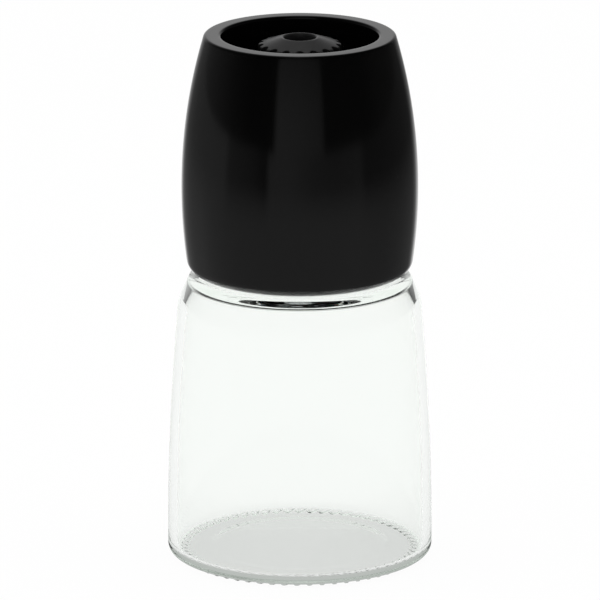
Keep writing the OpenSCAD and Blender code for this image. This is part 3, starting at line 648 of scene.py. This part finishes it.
# White acetal looks waxy, and the sheet has faint calender streaks one way.
pulled = add(tree, "ShaderNodeMapping", {}, {"Vector": place, "Scale": (1500.0, 80.0, 400.0)})
streaks = add(tree, NOISE, {}, {"Vector": pulled, "Scale": 1.0, "Detail": 2.0})
tint = between(tree, streaks, "#DAD9D1", "#E8E7E1")
finish_material(tree, tint, (streaks, 0.3, 0.42), None,
                {"IOR": 1.48, "Subsurface Weight": 0.15, "Subsurface Scale": 0.4 * MM})

glide_bore = 18.9
glide = ring("glide", "glide_ring", glide_bore, 0.08, acetal, sides=128)
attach(glide, "collar")
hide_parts("glide_ring")


# ---- Spindle and its washer ----
# Stainless bar: a round foot, a milled square shank that slides through the bridge, and a fine
# right-handed thread that carries the knob's nut. Its top is drilled for the end screw.

def square(across_flats, corner):
    """Radius at an angle of a square bar with rounded corners, for revolve's reshape."""
    def shape_of(angle):
        turned = (angle + TAU / 8) % (TAU / 4) - TAU / 8
        return min(across_flats / 2 / math.cos(turned), corner)
    return shape_of


turned_steel, tree, place = new_material("turned_steel")
# The tool's feed leaves rings round the bar, a few hundredths of a millimetre apart.
stretched = add(tree, "ShaderNodeMapping", {}, {"Vector": place, "Scale": (120.0, 120.0, 9000.0)})
rings = add(tree, NOISE, {}, {"Vector": stretched, "Scale": 1.0, "Detail": 2.0})
tint = between(tree, rings, "#B2B3B6", "#CCCDCF")
finish_material(tree, tint, (rings, 0.2, 0.34), (rings, 0.3, 0.01), {"Metallic": 1.0})

low, high, spindle_foot_r = span("spindle")
spindle_foot_t, shank_w, shank_corner = 1.6, 4.0, 2.6
fine_core, fine_crest, fine_pitch = 2.05, 2.45, 0.8
shank_top = high - 9.6
drill_r, drill_end = 1.2, high - 7.0
chamfer = 0.3
core = [(0, low), (spindle_foot_r - chamfer, low), (spindle_foot_r, low + chamfer),
        (spindle_foot_r, low + spindle_foot_t - chamfer),
        (spindle_foot_r - chamfer, low + spindle_foot_t)]
shank = ([(shank_corner, low + spindle_foot_t)]
         + fill([(shank_corner, low + spindle_foot_t + 0.05), (shank_corner, shank_top - 0.25)], 3.0)
         + [(shank_corner - 0.25, shank_top)])
screw = (fill([(fine_core, shank_top + 0.02), (fine_core, high - 0.35)], 0.05)
         + [(fine_core - 0.3, high), (drill_r + 0.15, high), (drill_r, high - 0.15)]
         + [(drill_r, drill_end), (0, drill_end - 0.6)])
flats = square(shank_w, shank_corner)
shank_low, shank_high = low + spindle_foot_t - 0.001, shank_top + 0.001


def spindle_radius(radius, height, angle):
    """Square between the foot and the thread, round everywhere else."""
    if shank_low < height < shank_high:
        return flats(angle) * radius / shank_corner
    return radius


spindle = revolve("spindle_bar", core + shank + screw, 48, spindle_radius)
cut_thread(spindle, turned_steel, fine_core, fine_crest - fine_core, fine_pitch, start=shank_top + 0.5,
           laps=10.75, root=0.6, crest=0.1)
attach(spindle, "collar")
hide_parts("spindle")

washer_bore = 3.0
lower_washer = ring("lower_washer", "spindle_washer", washer_bore, 0.1, stamped_steel)
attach(lower_washer, "collar")
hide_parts("spindle_washer")


# ---- Burr spring ----
# Stainless spring wire, coiled to the right with a closed turn at each end. It presses the cone
# burr up against the knob, and is built here as one fixed coil.

spring_wire, tree, place = new_material("spring_wire")
# Drawn wire is bright, with fine marks along it and a slight straw tint from being stress
# relieved.
marks = add(tree, NOISE, {}, {"Vector": place, "Scale": 1600.0, "Detail": 2.0})
tint = between(tree, marks, "#A8A49A", "#C6C4BE")
finish_material(tree, tint, (marks, 0.18, 0.3), None, {"Metallic": 1.0})

low, high, out = span("burr_spring")
wire_r, coil_turns = 0.4, 7.0
coil, given = new_tree("coiled_wire", "Turns", "Coil", "Wire", "Bottom", "Rise")
line = add(coil, "GeometryNodeCurvePrimitiveLine", {}, {"Start": (0, 0, 0), "End": (0, 0, 1)})
line = add(coil, "GeometryNodeResampleCurve", {}, {"Curve": line, "Count": 336})
share = add(coil, "GeometryNodeSplineParameter").outputs["Factor"]
# The first and the last turn lie almost flat.
rise = add(coil, "ShaderNodeFloatCurve", {}, {"Value": share})
closed = 1 / coil_turns
curve = rise.mapping.curves[0]
for at, value in ((closed, 0.1), (1 - closed, 0.9)):
    curve.points.new(at, value)
for point in curve.points:
    point.handle_type = "VECTOR"
rise.mapping.update()
angle = add(coil, MATH, "MULTIPLY", {
    0: share, 1: add(coil, MATH, "MULTIPLY", {0: given["Turns"], 1: TAU})})
x = add(coil, MATH, "MULTIPLY", {
    0: add(coil, MATH, "COSINE", {0: angle}), 1: given["Coil"]})
y = add(coil, MATH, "MULTIPLY", {
    0: add(coil, MATH, "SINE", {0: angle}), 1: given["Coil"]})
z = add(coil, MATH, "MULTIPLY_ADD", {0: rise, 1: given["Rise"], 2: given["Bottom"]})
spot = add(coil, "ShaderNodeCombineXYZ", {}, {"X": x, "Y": y, "Z": z})
path = add(coil, "GeometryNodeSetPosition", {}, {"Geometry": line, "Position": spot})
section = add(coil, "GeometryNodeCurvePrimitiveCircle", {"mode": "RADIUS"},
              {"Resolution": 12, "Radius": given["Wire"]})
wire = add(coil, "GeometryNodeCurveToMesh", {},
           {"Curve": path, "Profile Curve": section, "Fill Caps": True})
end_tree(coil, wire, given["Material"])
spring = bpy.data.objects.new("spring", bpy.data.meshes.new("spring"))
bpy.context.collection.objects.link(spring)
bake(spring, coil, {"Material": spring_wire, "Turns": coil_turns, "Coil": (out - wire_r) * MM,
                    "Wire": wire_r * MM, "Bottom": (low + wire_r) * MM,
                    "Rise": (high - low - 2 * wire_r) * MM})
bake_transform(spring)
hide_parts("burr_spring")


# ---- Outer shell ----
# Black ABS, injection moulded in one piece with its rim, its recess and the recess floor. The
# barrel is polished in the mould to a satin gloss, and the rim is a flat land with a rounded edge
# on both sides.

shell_low, shell_high = (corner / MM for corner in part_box("outer_shell"))
shell_r, top, hem = shell_high.x, shell_high.z, shell_low.z
barrel, waist_h = 144.5, 22.6       # curve of the barrel's side, and its widest place above the hem
waist_c = (shell_r - barrel, hem + waist_h)
hem_round, rim_out, rim_in, recess_round = 3.8, 0.9, 0.8, 1.0
rim_solid, wall, cup_wall, waist_wall = 4.0, 2.2, 1.8, 5.6
recess_r, recess_floor, cup_floor_t, exit_r = 20.6, top - 15.2, 2.0, 13.2
ceiling = recess_floor - cup_floor_t
keeper_bore, above_deck = 25.4, hem + 20.7      # bore of the shell's foot, and where it ends
groove_low, groove_high, groove_in = hem + 5.6, hem + 7.1, 0.9
cup_r = recess_r + cup_wall
wall_r = shell_r - waist_wall
hem_a = math.degrees(math.asin((hem_round - waist_h) / (barrel - hem_round)))
hem_c = polar(waist_c, barrel - hem_round, hem_a)
rim_a = math.degrees(math.asin((top - rim_out - waist_c[1]) / (barrel - rim_out)))
rim_c = polar(waist_c, barrel - rim_out, rim_a)
inner = barrel - wall
inner_low = math.degrees(math.acos((wall_r - waist_c[0]) / inner))
inner_high = math.degrees(math.asin((top - rim_solid - waist_c[1]) / inner))
lead = 0.2
outside = (arc(hem_c, hem_round, -90, hem_a, 14) + arc(waist_c, barrel, hem_a, rim_a, 60)[1:]
           + arc(rim_c, rim_out, rim_a, 90, 10)[1:]
           + fill([(rim_c[0], top), (recess_r + rim_in, top)], 0.8)[1:-1])
recess = (arc((recess_r + rim_in, top - rim_in), rim_in, 90, 180, 10)
          + fill([(recess_r, top - rim_in), (recess_r, recess_floor + recess_round)], 1.2)[1:-1]
          + arc((recess_r - recess_round, recess_floor + recess_round), recess_round, 0, -90, 6)
          + fill([(recess_r - recess_round, recess_floor), (exit_r + lead, recess_floor)], 1.0)[1:-1]
          + arc((exit_r + lead, recess_floor - lead), lead, 90, 180, 4))
within = ([(exit_r, ceiling), (cup_r, ceiling), (cup_r, top - rim_solid)]
          + arc(waist_c, inner, inner_high, inner_low, 10)
          + [(wall_r, above_deck), (keeper_bore, above_deck), (keeper_bore, groove_high),
             (keeper_bore + groove_in, groove_high), (keeper_bore + groove_in, groove_low),
             (keeper_bore, groove_low), (keeper_bore, hem + lead), (keeper_bore + lead, hem)])
shell = revolve("shell", outside + recess + within, 256)


def join(piece, other, operation="UNION"):
    """Joins another closed mesh to a piece, or cuts it out, and removes the other."""
    together = piece.modifiers.new("together", "BOOLEAN")
    together.operation = operation
    together.solver = "EXACT"
    together.object = other
    keep_result(piece, together)
    bpy.data.objects.remove(other)


# Three bosses stand down from the recess floor, each with a blind hole for a housing screw.
boss_r, pilot_r, pilot_depth, boss_from_axis = 2.6, 1.25, 12.0, 19.4
boss_turns = (90, 210, 330)
boss_places = [Matrix.Translation((*polar((0, 0), boss_from_axis * MM, way), 0)) for way in boss_turns]
boss_section = [(0, ceiling + 1), (boss_r, ceiling + 1), (boss_r, above_deck + 0.1),
                (boss_r - 0.1, above_deck), (pilot_r + 0.1, above_deck), (pilot_r, above_deck + 0.1),
                (pilot_r, above_deck + pilot_depth - 0.7), (0, above_deck + pilot_depth)]
for place in boss_places:
    boss = revolve("boss", boss_section, 48)
    boss.data.transform(place)
    join(shell, boss)

abs_black, tree, place = new_material("moulded_black_abs")
# Black all through. The mould's polished steel leaves a satin gloss with a very fine orange peel.
peel = add(tree, NOISE, {}, {"Vector": place, "Scale": 1400.0, "Detail": 2.0})
patch = add(tree, NOISE, {}, {"Vector": place, "Scale": 60.0, "Detail": 2.0})
finish_material(tree, linear("#030303"), (patch, 0.09, 0.13), (peel, 0.06, 0.03), {"IOR": 1.5})
coat(shell, abs_black)
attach(shell, "grip")
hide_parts("outer_shell")


# ---- Burr cushion ----
# A silicone ring between the ring burr and the recess floor. It takes up the play and quietens the
# grinding.

cushion_bore = 13.5
cushion = ring("cushion", "burr_cushion", cushion_bore, 0.12, silicone, steps=3, sides=96)
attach(cushion, "grip")
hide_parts("burr_cushion")


# ---- Ring burr ----
# Alumina, pressed and sintered, with nine coarse grooves below and thirty fine teeth above. Its
# shape is the CAD's: the teeth are ground sharp, so only its look is added here.

alumina, tree, place = new_material("sintered_alumina")
# Unglazed alumina is warm white, with the sparkle of its grains and a few darker specks fired into
# it.
grains = add(tree, "ShaderNodeTexVoronoi", {}, {"Vector": place, "Scale": 5000.0})
cloud = add(tree, NOISE, {}, {"Vector": place, "Scale": 300.0, "Detail": 3.0})
tint = between(tree, cloud, "#E3DCCB", "#F1ECE0")
speck = add(tree, NOISE, {}, {"Vector": place, "Scale": 2600.0, "Detail": 1.0})
specks = add(tree, MAP_RANGE, {}, {"Value": speck, "From Min": 0.7, "From Max": 0.78})
tint = add(tree, "ShaderNodeMix", {"data_type": "RGBA"}, {0: specks, 6: tint, 7: linear("#B9AE98")})
finish_material(tree, tint.outputs[2], (cloud, 0.45, 0.6), (grains, 0.35, 0.02),
                {"IOR": 1.77, "Subsurface Weight": 0.1, "Subsurface Scale": 0.3 * MM})


coat(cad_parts["outer_burr"], alumina)


# ---- Grinder housing ----
# The same nylon as the collar: a pot that holds the ring burr, a deck that runs on the glide ring,
# and a skirt round the collar. Six ribs stiffen the pot.

housing = softened("grinder_housing", "housing", 0.2, nylon)
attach(housing, "grip")
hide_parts("grinder_housing")


# ---- Housing screws ----
# Three stainless thread-forming screws go up through the deck into the shell's bosses. Their cross
# recesses face down, where a driver reaches them before the retaining ring goes in.

def cross_bit(width, wing, top, depth, up=1):
    """A cross-shaped driver bit, tapering from its width at the top to the bottom of the recess."""
    shape = bmesh.new()
    rings = []
    for height, share in ((top + up * 0.5, 1.2), (top, 1.0), (top - up * depth, 0.45)):
        a, b = wing / 2, width / 2 * share
        corners = [(a, a), (a, b), (-a, b), (-a, a), (-b, a), (-b, -a),
                   (-a, -a), (-a, -b), (a, -b), (a, -a), (b, -a), (b, a)]
        rings.append([shape.verts.new((x * MM, y * MM, height * MM)) for x, y in corners])
    for low_ring, high_ring in zip(rings, rings[1:]):
        for i in range(12):
            j = (i + 1) % 12
            shape.faces.new((low_ring[i], low_ring[j], high_ring[j], high_ring[i]))
    shape.faces.new(rings[0])
    shape.faces.new(list(reversed(rings[-1])))
    return mesh_object("bit", shape)


deck_screw_r, deck_head_r, deck_head_t = 1.2, 2.4, 1.2
form_pitch, form_core = 1.0, 0.88
low, high, out = span("housing_screw_1")
deck_screw = revolve("deck_screw", [
    (0, low), (deck_head_r - 0.45, low), (deck_head_r - 0.12, low + 0.14), (deck_head_r, low + 0.45),
    (deck_head_r, low + deck_head_t - 0.1), (deck_head_r - 0.1, low + deck_head_t)]
    + [(deck_screw_r, low + deck_head_t), (form_core, low + deck_head_t + 0.4)]
    + fill([(form_core, low + deck_head_t + 0.4), (form_core, high - 1.2)], 0.09)[1:]
    + [(0.45, high - 0.15), (0.25, high), (0, high)], 40)
cut_thread(deck_screw, turned_steel, form_core, deck_screw_r - form_core, form_pitch,
           start=low + deck_head_t + 0.9, laps=8.5, root=0.5, crest=0.08)
join(deck_screw, cross_bit(2.8, 0.7, low, 0.8, up=-1), "DIFFERENCE")
coat(deck_screw, turned_steel)
driven = 0.5        # radians further round than the last one, where the driver stopped
for number, place in enumerate(boss_places, 1):
    fixed = bpy.data.objects.new(f"deck_screw_{number}", deck_screw.data.copy())
    bpy.context.collection.objects.link(fixed)
    fixed.data.transform(place @ Matrix.Rotation(driven * number, 4, "Z"))
    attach(fixed, "grip")
    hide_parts(f"housing_screw_{number}")
bpy.data.objects.remove(deck_screw)


# ---- Retaining ring ----
# A nylon ring that snaps into the groove in the shell's foot by six lugs, below the collar's
# flange. It keeps the head on the collar.

keeper = softened("retaining_ring", "keeper", 0.18, nylon)
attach(keeper, "grip")
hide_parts("retaining_ring")


# ---- Cone burr, its hub and the two washers ----
# The cone burr is the same alumina as the ring burr, and is glued on a nylon hub by three keys.
# The spindle's square turns the hub, and a notched washer on the hub clicks against the knob.

coat(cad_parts["inner_burr"], alumina)

hub = softened("burr_hub", "hub", 0.12, nylon)
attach(hub, "burr")
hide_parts("burr_hub")

upper_washer = ring("upper_washer", "spring_washer", washer_bore, 0.1, stamped_steel)
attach(upper_washer, "burr")
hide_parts("spring_washer")

detent = softened("click_washer", "detent", 0.06, stamped_steel)
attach(detent, "burr")
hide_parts("click_washer")


# ---- Adjusting knob ----
# The same black ABS, with a fine spark-eroded grain on top. Eighteen finger flutes are cut into
# its edge, and a plain bore leads down to the end screw.

knob_low, knob_high = (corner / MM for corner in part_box("adjusting_knob"))
knob_top, knob_foot = knob_high.z, knob_low.z
knob_r, knob_bore, stem_r, nut_h = 10.9, 4.15, 6.6, 6.0
dome_h, skirt_h, edge_round, corner_round = 1.8, 4.2, 0.5, 0.4
edge = knob_top - dome_h
skirt = edge - skirt_h
lip_r = knob_bore + 0.85
nut_corner_r = 4.7
outline = ([(nut_corner_r, knob_foot), (stem_r - corner_round, knob_foot),
            (stem_r, knob_foot + corner_round), (stem_r, skirt - 1), (stem_r + 1, skirt)]
           + fill([(stem_r + 1, skirt), (knob_r - corner_round, skirt)], 0.4)[1:]
           + fill([(knob_r, skirt + corner_round), (knob_r, edge - edge_round)], 0.5)
           + arc((knob_r - edge_round, edge - edge_round), edge_round, 0, 72, 5)[1:]
           + fill([(knob_r - 0.35, edge - 0.02), (lip_r, knob_top - 0.06)], 0.25)[1:]
           + [(lip_r - 0.3, knob_top), (knob_bore + 0.3, knob_top - 0.05),
              (knob_bore + 0.08, knob_top - 0.25), (knob_bore, knob_top - 0.5)]
           + fill([(knob_bore, knob_top - 0.5), (knob_bore, knob_foot + nut_h)], 1.5)[1:]
           + [(nut_corner_r, knob_foot + nut_h)])
knob = revolve("knob", outline, 432)

abs_grained, tree, place = new_material("grained_black_abs")
# Spark erosion leaves the mould's face matt, and the moulding takes a fine dry grain from it.
grain = add(tree, NOISE, {}, {"Vector": place, "Scale": 2600.0, "Detail": 3.0})
patch = add(tree, NOISE, {}, {"Vector": place, "Scale": 300.0, "Detail": 2.0})
finish_material(tree, linear("#1A1A1A"), (patch, 0.26, 0.34), (grain, 0.4, 0.06),
                {"IOR": 1.5, "Specular IOR Level": 0.75})
coat(knob, abs_grained)

# Flutes: upright round grooves in the edge. Each point outside a groove's wall is drawn in to it.
tree, given = new_tree("finger_flutes", "Count", "Centre", "Radius")
radius, height, turns, outwards = round_the_axis(tree)
share = add(tree, MATH, "MULTIPLY", {
    0: add(tree, MATH, {}, {0: turns, 1: 0.25}), 1: given["Count"]})
nearest = add(tree, MATH, "ROUND", {0: share})
off = add(tree, MATH, "SUBTRACT", {0: share, 1: nearest})
step = add(tree, MATH, "DIVIDE", {0: TAU, 1: given["Count"]})
off = add(tree, MATH, "MULTIPLY", {0: off, 1: step})
across = add(tree, MATH, "MULTIPLY", {
    0: given["Centre"], 1: add(tree, MATH, "SINE", {0: off})})
reach = add(tree, MATH, "MULTIPLY", {0: given["Radius"], 1: given["Radius"]})
reach = add(tree, MATH, "SUBTRACT", {
    0: reach, 1: add(tree, MATH, "MULTIPLY", {0: across, 1: across})})
chord = add(tree, MATH, "SQRT", {
    0: add(tree, MATH, "MAXIMUM", {0: reach, 1: 0.0})})
middle = add(tree, MATH, "MULTIPLY", {
    0: given["Centre"], 1: add(tree, MATH, "COSINE", {0: off})})
groove_wall = add(tree, MATH, "SUBTRACT", {0: middle, 1: chord})
beside = add(tree, MATH, "LESS_THAN", {0: chord, 1: 0.05 * MM})
limit = add(tree, MATH, {}, {0: groove_wall, 1: beside})
excess = add(tree, MATH, "SUBTRACT", {0: radius, 1: limit})
excess = add(tree, MATH, "MAXIMUM", {0: excess, 1: 0.0})
inwards = add(tree, MATH, "MULTIPLY", {0: excess, 1: -1.0})
cut = add(tree, VECTOR_MATH, "SCALE", {0: outwards, "Scale": inwards})
fluted = add(tree, "GeometryNodeSetPosition", {}, {"Geometry": given["Geometry"], "Offset": cut})
end_tree(tree, fluted, given["Material"])
bake(knob, tree, {"Material": abs_grained, "Count": 18.0, "Centre": (knob_r - 0.25) * MM,
                  "Radius": 1.0 * MM})
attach(knob, "knob")
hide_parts("adjusting_knob")


# ---- Knob nut ----
# A brass hexagon nut with a fine right-handed thread, turned from bar with its corners chamfered,
# and pressed into the knob's stem.

brass, tree, place = new_material("turned_brass")
# Free-cutting brass: warm yellow, with the tool's rings, and a little browner where it has
# tarnished.
stretched = add(tree, "ShaderNodeMapping", {}, {"Vector": place, "Scale": (120.0, 120.0, 9000.0)})
rings = add(tree, NOISE, {}, {"Vector": stretched, "Scale": 1.0, "Detail": 2.0})
stain = add(tree, NOISE, {}, {"Vector": place, "Scale": 250.0, "Detail": 3.0})
tint = between(tree, stain, "#C9A04C", "#DDB968")
finish_material(tree, tint, (rings, 0.2, 0.36), None, {"Metallic": 1.0})

low, high, out = span("knob_nut")
nut_flats, nut_bore = 8.0, 2.55
nut_start = shank_top + 0.5
nut_lift = math.ceil((low + 0.6 - nut_start) / fine_pitch) * fine_pitch - fine_pitch / 2


def hexagon(radius, height, angle):
    """A six-sided outline for every point outside the flats, which leaves the chamfers round."""
    turned = (angle + TAU / 12) % (TAU / 6) - TAU / 12
    return min(radius, nut_flats / 2 / math.cos(turned)) if radius > nut_flats / 2 - 0.01 else radius


nut_corner = nut_flats / 2 / math.cos(TAU / 12)
nut = revolve("nut", [(nut_flats / 2, low), (nut_corner, low + 0.35), (nut_corner, high - 0.35),
                      (nut_flats / 2, high)]
              + [(nut_bore + 0.3, high), (nut_bore, high - 0.3)]
              + fill([(nut_bore, high - 0.3), (nut_bore, low + 0.3)], 0.05)[1:]
              + [(nut_bore + 0.3, low)], 60, hexagon)
cut_thread(nut, brass, nut_bore, -0.4, fine_pitch, start=nut_start + nut_lift, laps=5.75,
           root=0.6, crest=0.1)
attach(nut, "knob")
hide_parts("knob_nut")


# ---- End washer and end screw ----
# A small washer and a pan-head screw close the spindle's top, so that the knob can't be wound off
# it.

top_bore = 1.35
end_washer = ring("top_washer", "end_washer", top_bore, 0.1, stamped_steel)
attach(end_washer, "collar")
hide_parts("end_washer")

low, high, out = span("end_screw")
end_screw_r, end_core, end_pitch, end_head_r, end_head_t = 1.15, 0.9, 0.4, 2.7, 1.8
under_head = high - end_head_t
pan_head = [(end_screw_r, under_head - 0.05), (end_screw_r, under_head), (end_head_r - 0.1, under_head),
            (end_head_r, under_head + 0.1), (end_head_r, under_head + 0.75),
            (end_head_r - 0.2, under_head + 1.25), (end_head_r - 0.7, under_head + 1.6),
            (end_head_r - 1.4, high - 0.03), (0, high)]
end_screw = revolve("pan_screw", [(0, low), (end_core - 0.2, low)]
                    + fill([(end_core, low + 0.2), (end_core, under_head - 0.3)], 0.04) + pan_head, 48)
cut_thread(end_screw, turned_steel, end_core, end_screw_r - end_core, end_pitch, start=low + 0.25,
           laps=8.0, root=0.3, crest=0.05)
join(end_screw, cross_bit(3.0, 0.8, high, 1.0), "DIFFERENCE")
coat(end_screw, turned_steel)
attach(end_screw, "collar")
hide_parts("end_screw")
